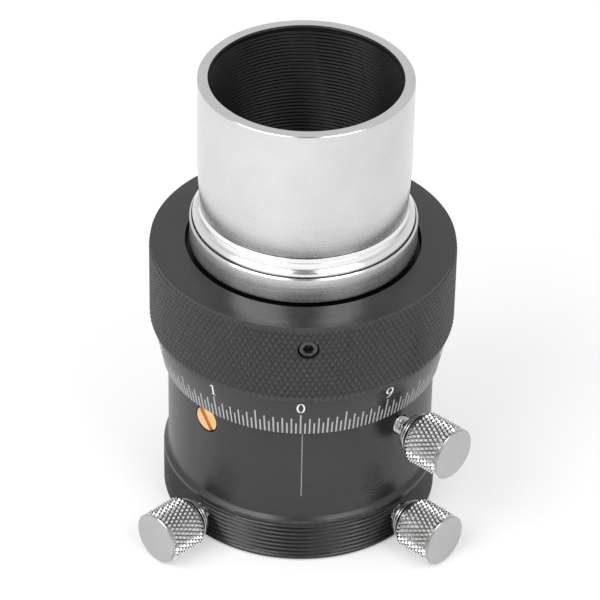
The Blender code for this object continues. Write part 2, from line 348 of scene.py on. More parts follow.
def turned(name, rows, columns=COLUMNS, thread=None, band=None, closed=True):
    """A mesh turned about local Z, with knurling after the row that band starts at."""
    bm = bmesh.new()
    wear = bm.verts.layers.float.new("wear")
    circles = [add_circle(bm, row, columns, thread, wear) for row in rows]
    pairs = len(rows) if closed else len(rows) - 1
    for i in range(pairs):
        j = (i + 1) % len(rows)
        if band and i == band.start:
            knurl(bm, circles[i], circles[j], rows[i].z, rows[j].z, band, wear)
        else:
            join_circles(bm, circles[i], circles[j], rows[i].paint)
    bmesh.ops.recalc_face_normals(bm, faces=bm.faces)
    mesh = bpy.data.meshes.new(name)
    bm.to_mesh(mesh)
    bm.free()
    return mesh


def radial_frame(azimuth, height):
    """Local +Z points outward along a radius, local +X points up."""
    outward = Vector((sin(radians(azimuth)), -cos(radians(azimuth)), 0.0))
    up = Vector((0.0, 0.0, 1.0))
    turn = Matrix((up, outward.cross(up), outward)).transposed().to_4x4()
    return Matrix.Translation(Vector((0.0, 0.0, height * MM))) @ turn


def piece(name, mesh, body, materials, matrix=None, replaces=(), smooth=28.0):
    """An object that rides on a CAD body and stands for CAD nodes."""
    obj = bpy.data.objects.new(name, mesh)
    bpy.context.scene.collection.objects.link(obj)
    if not mesh.materials:
        for material in materials:
            mesh.materials.append(material)
    if matrix is not None:
        obj.matrix_world = matrix
    mesh.shade_smooth()
    mesh.set_sharp_from_angle(angle=radians(smooth))
    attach(obj, body)
    if replaces:
        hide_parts(*replaces)
    return obj


def cylinder_tool(radius, reach, matrix, sides=48):
    """A throwaway cutter along local Z from reach[0] to reach[1]."""
    mesh = bpy.data.meshes.new("tool")
    bm = bmesh.new()
    middle = Matrix.Translation((0.0, 0.0, sum(reach) / 2 * MM))
    bmesh.ops.create_cone(
        bm,
        cap_ends=True,
        segments=sides,
        radius1=radius * MM,
        radius2=radius * MM,
        depth=(reach[1] - reach[0]) * MM,
        matrix=matrix @ middle,
    )
    bm.to_mesh(mesh)
    bm.free()
    return mesh


def box_tool(low, high, matrix):
    """A throwaway block between two opposite corners in the local frame."""
    mesh = bpy.data.meshes.new("tool")
    bm = bmesh.new()
    size = [(b - a) * MM for a, b in zip(low, high)]
    centre = Vector([(a + b) / 2 * MM for a, b in zip(low, high)])
    place = Matrix.Translation(centre) @ Matrix.Diagonal((*size, 1.0))
    bmesh.ops.create_cube(bm, size=1.0, matrix=matrix @ place)
    bm.to_mesh(mesh)
    bm.free()
    return mesh


def cut(mesh, tools, materials):
    """The mesh with each tool's shape cut out of it; the cuts take the first material."""
    for material in materials:
        mesh.materials.append(material)
    obj = bpy.data.objects.new("uncut", mesh)
    bpy.context.scene.collection.objects.link(obj)
    helpers = []
    for tool in tools:
        helper = bpy.data.objects.new("tool", tool)
        bpy.context.scene.collection.objects.link(helper)
        helpers.append(helper)
        boolean = obj.modifiers.new("cut", "BOOLEAN")
        boolean.operation = "DIFFERENCE"
        boolean.solver = "EXACT"
        boolean.object = helper
    evaluated = obj.evaluated_get(bpy.context.evaluated_depsgraph_get())
    result = bpy.data.meshes.new_from_object(evaluated)
    for used in [obj, *helpers]:
        bpy.data.objects.remove(used, do_unlink=True)
    return result


# ---------------------------------------------------------------- materials

def set_map_range(node, low, high, to_low, to_high):
    """Makes a Map Range node take low to high to to_low to to_high."""
    values = {"From Min": low, "From Max": high, "To Min": to_low, "To Max": to_high}
    for key, number in values.items():
        node.inputs[key].default_value = number


class Finish:
    """A Principled material whose colour, roughness and bump are built up from noises."""

    def __init__(self, name, colour, roughness, metallic):
        self.material = bpy.data.materials.new(name)
        self.material.use_nodes = True
        self.tree = self.material.node_tree
        self.shader = self.tree.nodes["Principled BSDF"]
        self.shader.inputs["Metallic"].default_value = metallic
        self.colour = self.constant_colour(colour)
        self.roughness = None
        self.base_roughness = roughness
        self.height = None
        self.point = self.node("ShaderNodeTexCoord").outputs["Object"]

    def node(self, kind, **settings):
        made = self.tree.nodes.new(kind)
        for key, value in settings.items():
            setattr(made, key, value)
        return made

    def link(self, source, target):
        self.tree.links.new(source, target)

    def constant_colour(self, colour):
        rgb = self.node("ShaderNodeRGB")
        rgb.outputs[0].default_value = (*colour, 1.0)
        return rgb.outputs[0]

    def maths(self, operation, a, b=0.0, clamp=False):
        made = self.node("ShaderNodeMath", operation=operation, use_clamp=clamp)
        for socket, value in zip(made.inputs, (a, b)):
            if isinstance(value, (int, float)):
                socket.default_value = value
            else:
                self.link(value, socket)
        return made.outputs[0]

    def turned_point(self, drift=0.02):
        """A coordinate that follows the tool of a lathe: radius, height, and a little drift."""
        split = self.node("ShaderNodeSeparateXYZ")
        self.link(self.point, split.inputs[0])
        x, y, z = split.outputs
        squares = self.maths("ADD", self.maths("MULTIPLY", x, x), self.maths("MULTIPLY", y, y))
        joined = self.node("ShaderNodeCombineXYZ")
        self.link(self.maths("SQRT", squares), joined.inputs[0])
        self.link(z, joined.inputs[1])
        self.link(self.maths("MULTIPLY", x, drift), joined.inputs[2])
        return joined.outputs[0]

    def noise(self, per_mm, detail=2.0, point=None, low=0.3, high=0.7):
        """A noise with about per_mm features a millimetre, stretched to fill 0 to 1."""
        made = self.node("ShaderNodeTexNoise")
        made.inputs["Scale"].default_value = per_mm / MM
        made.inputs["Detail"].default_value = detail
        self.link(point or self.point, made.inputs["Vector"])
        return self.spread(made.outputs["Fac"], low, high, 0.0, 1.0)

    def spread(self, value, low, high, to_low, to_high):
        made = self.node("ShaderNodeMapRange")
        self.link(value, made.inputs["Value"])
        set_map_range(made, low, high, to_low, to_high)
        return made.outputs["Result"]

    def tint(self, amount, colour):
        """Mixes the colour so far towards another by a 0 to 1 amount."""
        mix = self.node("ShaderNodeMix", data_type="RGBA")
        self.link(amount, mix.inputs["Factor"])
        self.link(self.colour, mix.inputs["A"])
        mix.inputs["B"].default_value = (*colour, 1.0)
        self.colour = mix.outputs["Result"]

    def rough(self, value, low, high):
        """Adds between low and high to the roughness as value goes from 0 to 1."""
        part = self.spread(value, 0.0, 1.0, low, high)
        start = self.base_roughness if self.roughness is None else self.roughness
        self.roughness = self.maths("ADD", start, part, clamp=True)

    def raise_by(self, value, height_mm):
        """Adds a 0 to 1 value to the bump, as a height."""
        part = self.maths("MULTIPLY", value, height_mm * MM)
        self.height = part if self.height is None else self.maths("ADD", self.height, part)

    def wear(self, colour, patch, strength=1.0):
        """Bares another colour on exposed edges, broken up by a patchy noise."""
        edge = self.node("ShaderNodeAttribute", attribute_name="wear").outputs["Fac"]
        amount = self.maths("MULTIPLY", self.maths("MULTIPLY", edge, patch), strength, clamp=True)
        self.tint(amount, colour)
        return amount

    def finish(self, anisotropic=0.0, specular=0.5):
        """Connects what was built up to the shader, and hands over the material."""
        self.link(self.colour, self.shader.inputs["Base Color"])
        if self.roughness is None:
            self.shader.inputs["Roughness"].default_value = self.base_roughness
        else:
            self.link(self.roughness, self.shader.inputs["Roughness"])
        if self.height is not None:
            bump = self.node("ShaderNodeBump")
            bump.inputs["Distance"].default_value = 1.0
            self.link(self.height, bump.inputs["Height"])
            self.link(bump.outputs["Normal"], self.shader.inputs["Normal"])
        self.shader.inputs["Specular IOR Level"].default_value = specular
        if anisotropic:
            self.shader.inputs["Anisotropic"].default_value = anisotropic
            self.shader.inputs["Anisotropic Rotation"].default_value = 0.25
            tangent = self.node("ShaderNodeTangent", direction_type="RADIAL", axis="Z")
            self.link(tangent.outputs[0], self.shader.inputs["Tangent"])
        return self.material


def anodised(name, colour=(0.0145, 0.0145, 0.015), roughness=0.23, lines=0.0, wear=0.35):
    """Satin black anodised aluminium: fine etched grain, faint turning lines, rubbed edges."""
    look = Finish(name, colour, roughness, 0.0)
    cloud = look.noise(0.09, 3.0)
    grain = look.noise(14.0, 2.0)
    speck = look.noise(2.2, 3.0, low=0.62, high=0.74)
    turning = look.noise(5.0, 3.0, look.turned_point())
    look.tint(cloud, tuple(part * 1.35 for part in colour))
    look.tint(look.maths("MULTIPLY", speck, 0.15), (0.09, 0.088, 0.085))
    look.rough(cloud, -0.03, 0.04)
    look.rough(grain, -0.02, 0.03)
    look.raise_by(grain, 0.0009)
    if lines:
        look.raise_by(turning, lines)
        look.rough(turning, -0.03, 0.03)
    if wear:
        rub = look.noise(1.1, 4.0, low=0.42, high=0.72)
        look.wear((0.20, 0.20, 0.21), rub, wear)
    return look.finish()


def bright_metal(name, colour, roughness, lines, haze, anisotropic=0.0, drift=0.02):
    """Turned bright metal: concentric tool marks, a little haze and tiny scratches."""
    look = Finish(name, colour, roughness, 1.0)
    turning = look.noise(6.5, 4.0, look.turned_point(drift))
    broad = look.noise(0.7, 2.0, look.turned_point(drift))
    cloud = look.noise(0.12, 4.0)
    scratch = look.noise(3.2, 5.0, low=0.60, high=0.70)
    darker = tuple(part * 0.86 for part in colour)
    look.tint(look.maths("MULTIPLY", cloud, haze), darker)
    look.tint(look.maths("MULTIPLY", turning, 0.30), tuple(part * 0.90 for part in colour))
    look.rough(cloud, -0.02, 0.05)
    look.rough(turning, -0.03, 0.05)
    look.rough(scratch, 0.0, 0.08)
    look.raise_by(turning, lines)
    look.raise_by(broad, lines * 1.5)
    return look.finish(anisotropic=anisotropic)


def knurled_nickel(name):
    """Nickel plate over knurling: darker down in the grooves, in patches, with polished tips."""
    look = Finish(name, (0.86, 0.86, 0.86), 0.24, 1.0)
    cloud = look.noise(0.5, 4.0)
    fine = look.noise(9.0, 3.0)
    tips = look.node("ShaderNodeAttribute", attribute_name="wear").outputs["Fac"]
    depth = look.spread(tips, 0.0, 0.75, 1.0, 0.0)
    patches = look.spread(cloud, 0.0, 1.0, 0.55, 1.0)
    look.tint(look.maths("MULTIPLY", depth, patches), (0.24, 0.235, 0.23))
    look.rough(cloud, -0.03, 0.06)
    look.rough(fine, -0.02, 0.04)
    look.raise_by(fine, 0.0012)
    return look.finish()


def matt_nickel(name):
    """The blasted end face of a thumbscrew."""
    look = Finish(name, (0.50, 0.50, 0.50), 0.5, 1.0)
    cloud = look.noise(0.45, 4.0)
    grain = look.noise(16.0, 2.0)
    turning = look.noise(5.0, 2.0, look.turned_point())
    look.tint(look.maths("MULTIPLY", cloud, 0.5), (0.45, 0.45, 0.45))
    look.rough(grain, -0.04, 0.06)
    look.raise_by(grain, 0.0016)
    look.raise_by(turning, 0.0006)
    return look.finish()


def black_bore_and_shade(name):
    """Dull black inside the nosepiece, with brighter thread crests. The same black is also painted as
    shade over the nut and in the gap under the drawtube's collar.
    """
    look = Finish(name, (0.0028, 0.0028, 0.003), 0.42, 0.0)
    cloud = look.noise(0.3, 3.0)
    grain = look.noise(10.0, 2.0)
    look.tint(cloud, (0.0045, 0.0045, 0.0048))
    look.rough(grain, -0.04, 0.05)
    look.raise_by(grain, 0.0012)
    look.wear((0.009, 0.009, 0.009), look.spread(cloud, 0.0, 1.0, 0.4, 1.0), 0.6)
    return look.finish(specular=0.22)


def brass(name, colour=(0.83, 0.52, 0.22)):
    """Unlacquered brass, a little tarnished, with tool marks."""
    look = Finish(name, colour, 0.28, 1.0)
    cloud = look.noise(0.6, 4.0)
    turning = look.noise(7.0, 3.0, look.turned_point())
    spots = look.noise(2.5, 3.0, low=0.60, high=0.72)
    look.tint(look.maths("MULTIPLY", cloud, 0.45), (0.62, 0.36, 0.14))
    look.tint(look.maths("MULTIPLY", spots, 0.5), (0.36, 0.20, 0.09))
    look.rough(cloud, -0.04, 0.10)
    look.raise_by(turning, 0.0016)
    return look.finish()


def black_oxide(name):
    """Oiled black oxide on steel."""
    look = Finish(name, (0.055, 0.055, 0.058), 0.36, 0.85)
    cloud = look.noise(0.9, 3.0)
    grain = look.noise(12.0, 2.0)
    look.tint(cloud, (0.085, 0.082, 0.08))
    look.rough(grain, -0.05, 0.08)
    look.raise_by(grain, 0.0012)
    look.wear((0.26, 0.26, 0.27), look.noise(2.0, 3.0), 0.6)
    return look.finish()


def paint_white(name, colour, roughness=0.55):
    """Filled engraving: matt paint, slightly uneven."""
    look = Finish(name, colour, roughness, 0.0)
    patch = look.noise(1.6, 3.0)
    grain = look.noise(18.0, 2.0)
    look.tint(look.maths("MULTIPLY", patch, 0.6), tuple(part * 0.72 for part in colour))
    look.rough(patch, -0.05, 0.1)
    look.raise_by(grain, 0.001)
    return look.finish()


def ptfe(name):
    """White plastic, a little yellowed."""
    look = Finish(name, (0.84, 0.84, 0.82), 0.48, 0.0)
    cloud = look.noise(0.3, 3.0)
    turning = look.noise(4.0, 2.0, look.turned_point())
    look.tint(look.maths("MULTIPLY", cloud, 0.5), (0.70, 0.69, 0.65))
    look.rough(turning, -0.05, 0.08)
    look.raise_by(turning, 0.002)
    return look.finish()


BLACK = anodised("black_anodised_body", lines=0.0004, roughness=0.28)
BLACK_TOP = anodised("black_anodised_turned", lines=0.0022, roughness=0.24)
BLACK_KNURL = anodised("black_anodised_knurl", colour=(0.019, 0.019, 0.0195), roughness=0.30, wear=0.10)
BLACK_THREAD = anodised("black_anodised_thread", colour=(0.008, 0.008, 0.0085), roughness=0.28, wear=0.10)
POLISHED = bright_metal("polished_aluminium", (0.655, 0.655, 0.655), 0.21, 0.0010, 0.6, 0.6)
TURNED = bright_metal("turned_aluminium", (0.84, 0.84, 0.84), 0.15, 0.0012, 0.4, 0.4)
BRUSHED = bright_metal("brushed_aluminium", (0.72, 0.72, 0.72), 0.23, 0.0026, 0.9, 0.8)
BORE_AND_SHADE_BLACK = black_bore_and_shade("bore_and_shade_black")
KNURL_NICKEL = knurled_nickel("nickel_knurl")
FACE_NICKEL = matt_nickel("nickel_face")
SHANK_NICKEL = bright_metal("nickel_shank", (0.60, 0.60, 0.605), 0.24, 0.0010, 0.8)
BRASS = brass("brass_turned")
BRASS_SCREW = brass("brass_screw", (0.88, 0.58, 0.30))
OXIDE = black_oxide("black_oxide")
NUMBER_PAINT = paint_white("number_paint", (0.86, 0.86, 0.85))
MARK_PAINT = paint_white("mark_paint", (0.44, 0.44, 0.44))
LINE_PAINT = paint_white("line_paint", (0.24, 0.24, 0.24))
PTFE = ptfe("ptfe")


# ---------------------------------------------------------------- housing

def build_housing():
    """Threaded flange, body and neck, cut by the screw holes."""
    groove_low, groove_high = CLAMP_GROOVE_Z
    top, bottom = FLANGE_THREAD_Z
    upper = rounded([
        (HOUSING_BORE_R, NECK_TOP, 0.15),
        (NECK_R, NECK_TOP, 0.2),
        (NECK_R, BODY_TOP, 0.0),
        (BODY_R, BODY_TOP, 0.12),
        (BODY_R, FLANGE_TOP + FLANGE_CHAMFER, 0.25),
        (FLANGE_R, FLANGE_TOP, 0.2),
        (FLANGE_R, top, 0.0),
        (FLANGE_R, 0.0, 0.0),
    ])[:-2]
    lower = rounded([
        (FLANGE_R, FLANGE_TOP, 0.0),
        (FLANGE_R, 0.4, 0.0),
        (FLANGE_R - 0.4, 0.0, 0.12),
        (SOCKET_R + 0.6, 0.0, 0.12),
        (SOCKET_R, 0.6, 0.1),
        (SOCKET_R, groove_low, 0.1),
        (CLAMP_GROOVE_R, groove_low, 0.0),
        (CLAMP_GROOVE_R, groove_high, 0.0),
        (SOCKET_R, groove_high, 0.1),
        (SOCKET_R, LEDGE_Z, 0.1),
        (HOUSING_BORE_R, LEDGE_Z, 0.0),
    ])[1:]
    thread = threaded(FLANGE_R, top, bottom, FLANGE_THREAD_PITCH, 0.40, paint=1)
    rows = upper + thread + lower
    mesh = turned("housing", rows, thread=Thread(FLANGE_THREAD_PITCH))
    tools = [
        cylinder_tool(SCREW_HOLE_R, (15.0, 23.0), radial_frame(azimuth, height))
        for azimuth, height, _ in EYEPIECE_SCREWS.values()
    ]
    tools.append(cylinder_tool(SCREW_HOLE_R, (17.0, 23.0), radial_frame(*LOCK_SCREW[:2])))
    guide = radial_frame(GUIDE_AZIMUTH, GUIDE_Z)
    tools.append(cylinder_tool(GUIDE_HEAD_R + 0.15, (GUIDE_FLOOR, 22.0), guide))
    tools.append(cylinder_tool(GUIDE_TIP_R + 0.35, (17.0, 20.0), guide))
    looks = [BLACK, BLACK_THREAD]
    mesh = cut(mesh, tools, looks)
    piece("housing_shell", mesh, "housing", looks,
          replaces=["body_shell"])


def build_guide_screw():
    """Slotted brass screw whose tip keys the drawtube."""
    neck_r = GUIDE_TIP_R + HIDDEN_GAP
    rows = [Row(0.0, GUIDE_FACE)] + rounded([
        (0.0, GUIDE_FACE, 0.0),
        (GUIDE_HEAD_R, GUIDE_FACE, 0.15),
        (GUIDE_HEAD_R, GUIDE_FLOOR + 0.15, 0.05),
        (neck_r, GUIDE_FLOOR + 0.15, 0.0),
        (neck_r, HOUSING_BORE_R, 0.05),
        (GUIDE_TIP_R, HOUSING_BORE_R, 0.0),
        (GUIDE_TIP_R, GUIDE_TIP_REACH, 0.1),
        (0.0, GUIDE_TIP_REACH, 0.0),
    ])[1:]
    mesh = turned("guide_screw", rows, SMALL_COLUMNS, closed=False)
    half = GUIDE_SLOT_HALF_WIDTH
    slot = box_tool((-3.0, -half, GUIDE_FACE - GUIDE_SLOT_DEPTH), (3.0, half, GUIDE_FACE + 1.0),
                    Matrix.Rotation(radians(GUIDE_SLOT_TURN), 4, "Z"))
    mesh = cut(mesh, [slot], [BRASS_SCREW])
    piece("guide_screw_turned", mesh, "housing", [BRASS_SCREW],
          matrix=radial_frame(GUIDE_AZIMUTH, GUIDE_Z), replaces=["guide_screw"])


def build_compression_ring():
    """Brass ring that lies in the socket's groove, split at the back."""
    low = CLAMP_GROOVE_Z[0] + HIDDEN_GAP
    high = CLAMP_GROOVE_Z[1] - HIDDEN_GAP
    rows = rounded([
        (CLAMP_GROOVE_R - 0.25, high, 0.1),
        (CLAMP_GROOVE_R - 0.25, low, 0.1),
        (SOCKET_R + 0.1, low, 0.15),
        (SOCKET_R + 0.1, high, 0.15),
    ])
    gap = box_tool((-1.0, 15.0, 0.0), (1.0, 18.0, 8.0), Matrix.Identity(4))
    mesh = cut(turned("compression_ring", rows), [gap], [BRASS])
    piece("compression_ring_split", mesh, "housing", [BRASS],
          replaces=["compression_ring"])


# ---------------------------------------------------------------- focus ring

def build_grip():
    """Knurled ring: one closed shape with the knurling as real pyramids."""
    low_r = GRIP_R - KNURL_DEPTH
    rows = rounded([
        (MOUTH_R, GRIP_TOP, 0.0),
        (GRIP_R - 0.16, GRIP_TOP, 0.06),
        (low_r, GRIP_TOP - 0.2, 0.0),
        (low_r, GRIP_BOTTOM + 0.1, 0.0),
        (GRIP_R - 0.4, GRIP_BOTTOM, 0.04),
        (SPIGOT_R + HIDDEN_GAP, GRIP_BOTTOM, 0.1),
        (SPIGOT_R + HIDDEN_GAP, SPIGOT_TOP + HIDDEN_GAP, 0.0),
        (SPIGOT_R - 0.2, SPIGOT_TOP + HIDDEN_GAP, 0.0),
        (SPIGOT_R - 0.2, NUT_Z[0] - HIDDEN_GAP, 0.0),
        (NUT_R + HIDDEN_GAP, NUT_Z[0] - HIDDEN_GAP, 0.0),
        (NUT_R + HIDDEN_GAP, GRIP_TOP - LIP, 0.0),
        (MOUTH_R, GRIP_TOP - LIP, 0.1),
    ])
    start = next(i for i, row in enumerate(rows) if row.r == low_r)
    rows = [row._replace(paint=1) if i < start else row for i, row in enumerate(rows)]
    band = Band(start, GRIP_R, KNURL_DEPTH, KNURL_ROWS, flat=0.16, paint=2)
    mesh = turned("grip", rows, 2 * KNURL_GROOVES, band=band)
    tools = [
        cylinder_tool(GRUB_HOLE_R, (19.0, 25.0), radial_frame(grub_azimuth(number), GRUB_Z))
        for number in range(GRUB_COUNT)
    ]
    looks = [BLACK, BLACK_TOP, BLACK_KNURL]
    mesh = cut(mesh, tools, looks)
    piece("focus_grip", mesh, "focus_ring", looks,
          replaces=["knurled_ring"], smooth=24.0)


def grub_azimuth(number):
    return GRUB_FIRST_AZIMUTH + number * 360 / GRUB_COUNT


def build_grub_screws():
    """Headless screws with a hexagon socket; all three are alike."""
    tip, face = GRUB_REACH
    rows = [Row(0.0, face)] + rounded([
        (0.0, face, 0.0),
        (GRUB_R, face, 0.16),
        (GRUB_R, tip, 0.3),
        (0.0, tip, 0.0),
    ])[1:]
    hex_r = HEX_FLATS / 2 / cos(pi / 6)
    socket = cylinder_tool(hex_r, (face - 1.1, face + 1.0), Matrix.Identity(4), sides=6)
    mesh = cut(turned("grub_screw", rows, SMALL_COLUMNS, closed=False), [socket], [OXIDE])
    for number in range(GRUB_COUNT):
        name = f"ring_set_screw_{number + 1}"
        piece(f"grub_screw_{number + 1}", mesh if number == 0 else mesh.copy(), "focus_ring",
              [OXIDE],
              matrix=radial_frame(grub_azimuth(number), GRUB_Z), replaces=[name])


def build_scale_sleeve():
    """Cone that carries the scale, with the spigot that goes up into the grip."""
    rows = rounded([
        (SPIGOT_R, SPIGOT_TOP, 0.15),
        (SPIGOT_R, SCALE_TOP, 0.0),
        (SCALE_TOP_R, SCALE_TOP, 0.05),
        (SCALE_BOTTOM_R, SCALE_BOTTOM, 0.05),
        (NECK_R + 0.3, SCALE_BOTTOM, 0.1),
        (NECK_R + 0.3, SPIGOT_TOP, 0.1),
    ])
    piece("scale_cone", turned("scale_cone", rows), "focus_ring", [BLACK],
          replaces=["scale_sleeve"])


def build_nut():
    """Brass nut round the drawtube's helicoid; its bore is turned plain, with no female thread cut."""
    low, high = NUT_Z
    rows = rounded([
        (NUT_BORE_R, high, 0.0),
        (NUT_R, high, 0.2),
        (NUT_R, low, 0.2),
        (NUT_BORE_R, low, 0.0),
    ])
    # The nut's top face and its bore take the bore's black: painted shade, so that the brass reads dark
    # where it shows through the gap at the focus ring's mouth.
    for end in (0, -1):
        rows[end] = rows[end]._replace(paint=1)
    piece("helicoid_nut_turned", turned("helicoid_nut", rows), "focus_ring",
          [BRASS, BORE_AND_SHADE_BLACK], replaces=["helicoid_nut"])


# ---------------------------------------------------------------- scale marks and numbers

CONE_SLANT = hypot(SCALE_TOP - SCALE_BOTTOM, SCALE_TOP_R - SCALE_BOTTOM_R)
CONE_RISE = (SCALE_TOP - SCALE_BOTTOM) / CONE_SLANT
CONE_SPREAD = (SCALE_TOP_R - SCALE_BOTTOM_R) / CONE_SLANT


def on_cone(azimuth, u, s, lift):
    """A point u sideways and s up the slant of the scale cone, lift above its surface."""
    radius = SCALE_BOTTOM_R + CONE_SPREAD * s
    angle = radians(azimuth) + u / radius
    r = radius + lift * CONE_RISE
    z = SCALE_BOTTOM + CONE_RISE * s - lift * CONE_SPREAD
    return Vector((r * sin(angle), -r * cos(angle), z))


def on_body(azimuth, u, s, lift):
    """A point u sideways and s up the housing's body from its top edge."""
    angle = radians(azimuth) + u / BODY_R
    r = BODY_R + lift
    return Vector((r * sin(angle), -r * cos(angle), BODY_TOP + s))


def ribbon(bm, path, width_at, place, closed=False, buried=0.05, proud=0.012):
    """A thin closed strip along a path of (u, s), pressed into a surface."""
    count = len(path)
    sections = []
    for i, (u, s) in enumerate(path):
        ahead = path[(i + 1) % count] if closed or i + 1 < count else path[i]
        behind = path[i - 1] if closed or i > 0 else path[i]
        along = Vector((ahead[0] - behind[0], ahead[1] - behind[1])).normalized()
        half = width_at(along) / 2
        side = Vector((-along.y, along.x)) * half
        corners = [(side, proud), (side, -buried), (-side, -buried), (-side, proud)]
        sections.append([
            bm.verts.new(place(u + off.x, s + off.y, lift) * MM) for off, lift in corners
        ])
    links = count if closed else count - 1
    for i in range(links):
        here, there = sections[i], sections[(i + 1) % count]
        for a in range(4):
            b = (a + 1) % 4
            bm.faces.new((here[a], here[b], there[b], there[a]))
    if not closed:
        bm.faces.new(sections[0])
        bm.faces.new(reversed(sections[-1]))


def strokes_mesh(name, strokes):
    """strokes is a list of (path, width function, placing function, closed)."""
    bm = bmesh.new()
    bm.verts.layers.float.new("wear")
    for path, width_at, place, closed in strokes:
        ribbon(bm, path, width_at, place, closed)
    bmesh.ops.recalc_face_normals(bm, faces=bm.faces)
    mesh = bpy.data.meshes.new(name)
    bm.to_mesh(mesh)
    bm.free()
    return mesh


def build_marks():
    """White division marks round the cone's lower edge."""
    strokes = []
    for division in range(DIVISIONS):
        kind = "long" if division % 10 == 0 else "medium" if division % 2 == 0 else "short"
        azimuth = SCALE_ZERO_AZIMUTH - division * 360 / DIVISIONS

        def place(u, s, lift, azimuth=azimuth):
            return on_cone(azimuth, u, s, lift)

        path = [(0.0, MARK_START), (0.0, MARK_LENGTHS[kind])]
        strokes.append((path, lambda along: MARK_WIDTH, place, False))
    piece("scale_marks", strokes_mesh("scale_marks", strokes), "focus_ring",
          [MARK_PAINT])


def build_index_line():
    """The line down the housing's front that the scale is read against."""
    path = [(0.0, s) for s in INDEX_REACH]

    def place(u, s, lift):
        return on_body(0.0, u, s, lift)

    strokes = [(path, lambda along: INDEX_WIDTH, place, False)]
    piece("index_line", strokes_mesh("index_line", strokes), "housing",
          [LINE_PAINT])


def arc(cx, cy, rx, ry, start, end, steps=22):
    """Points along an ellipse between two angles in degrees."""
    points = []
    for i in range(steps + 1):
        angle = radians(start + (end - start) * i / steps)
        points.append((cx + rx * cos(angle), cy + ry * sin(angle)))
    return points


def loop(cx, cy, rx, ry):
    """Points round a whole ellipse."""
    return arc(cx, cy, rx, ry, 0.0, 360.0, 32)[:-1]


def digit_strokes(digit):
    """The strokes of a serif numeral about 1.3 wide and 2.4 tall, centred on (0, 0)."""
    if digit == 0:
        return [(loop(0.0, 0.0, 0.50, 1.08), True)]
    if digit == 1:
        return [([(0.06, 1.15), (0.06, -1.15)], False), ([(-0.34, 0.78), (0.06, 1.12)], False),
                ([(-0.34, -1.15), (0.46, -1.15)], False)]
    if digit == 2:
        return [(arc(0.0, 0.52, 0.52, 0.62, 165, -30) + [(-0.5, -1.08)], False),
                ([(-0.55, -1.1), (0.58, -1.1), (0.62, -0.7)], False)]
    if digit == 3:
        return [(arc(-0.04, 0.58, 0.50, 0.56, 155, -90), False),
                (arc(-0.04, -0.54, 0.58, 0.60, 90, -160), False)]
    if digit == 4:
        return [([(0.2, 1.15), (0.2, -1.15)], False), ([(0.2, 1.15), (-0.6, -0.42)], False),
                ([(-0.6, -0.42), (0.6, -0.42)], False), ([(-0.1, -1.15), (0.5, -1.15)], False)]
    if digit == 5:
        return [([(-0.38, 1.12), (0.5, 1.12)], False), ([(-0.4, 1.12), (-0.44, 0.14)], False),
                (arc(-0.04, -0.42, 0.58, 0.72, 132, -155), False)]
    if digit in (6, 9):
        strokes = [(loop(0.0, -0.47, 0.54, 0.66), True),
                   (arc(0.52, -0.30, 1.07, 1.44, 186, 98), False)]
        if digit == 9:
            strokes = [([(-x, -y) for x, y in path], closed) for path, closed in strokes]
        return strokes
    if digit == 7:
        return [([(-0.55, 0.72), (-0.52, 1.12), (0.58, 1.12)], False),
                ([(0.58, 1.12), (0.02, 0.1), (-0.16, -1.15)], False)]
    return [(loop(0.0, 0.59, 0.45, 0.54), True), (loop(0.0, -0.54, 0.56, 0.60), True)]


def pen(along):
    """A broad pen: thick down-strokes, thin cross-strokes."""
    return 0.10 + 0.16 * abs(along.y)


def build_numbers():
    """The digits 0 to 9, evenly round the cone."""
    strokes = []
    for digit in range(10):
        azimuth = SCALE_ZERO_AZIMUTH - digit * 360 / 10

        def place(u, s, lift, azimuth=azimuth):
            return on_cone(azimuth, u, NUMBER_HEIGHT_ON_CONE + NUMBER_SQUASH * s, lift)

        for path, closed in digit_strokes(digit):
            strokes.append((path, pen, place, closed))
    piece("scale_numbers", strokes_mesh("scale_numbers", strokes), "focus_ring",
          [NUMBER_PAINT])


# ---------------------------------------------------------------- drawtube and nosepiece

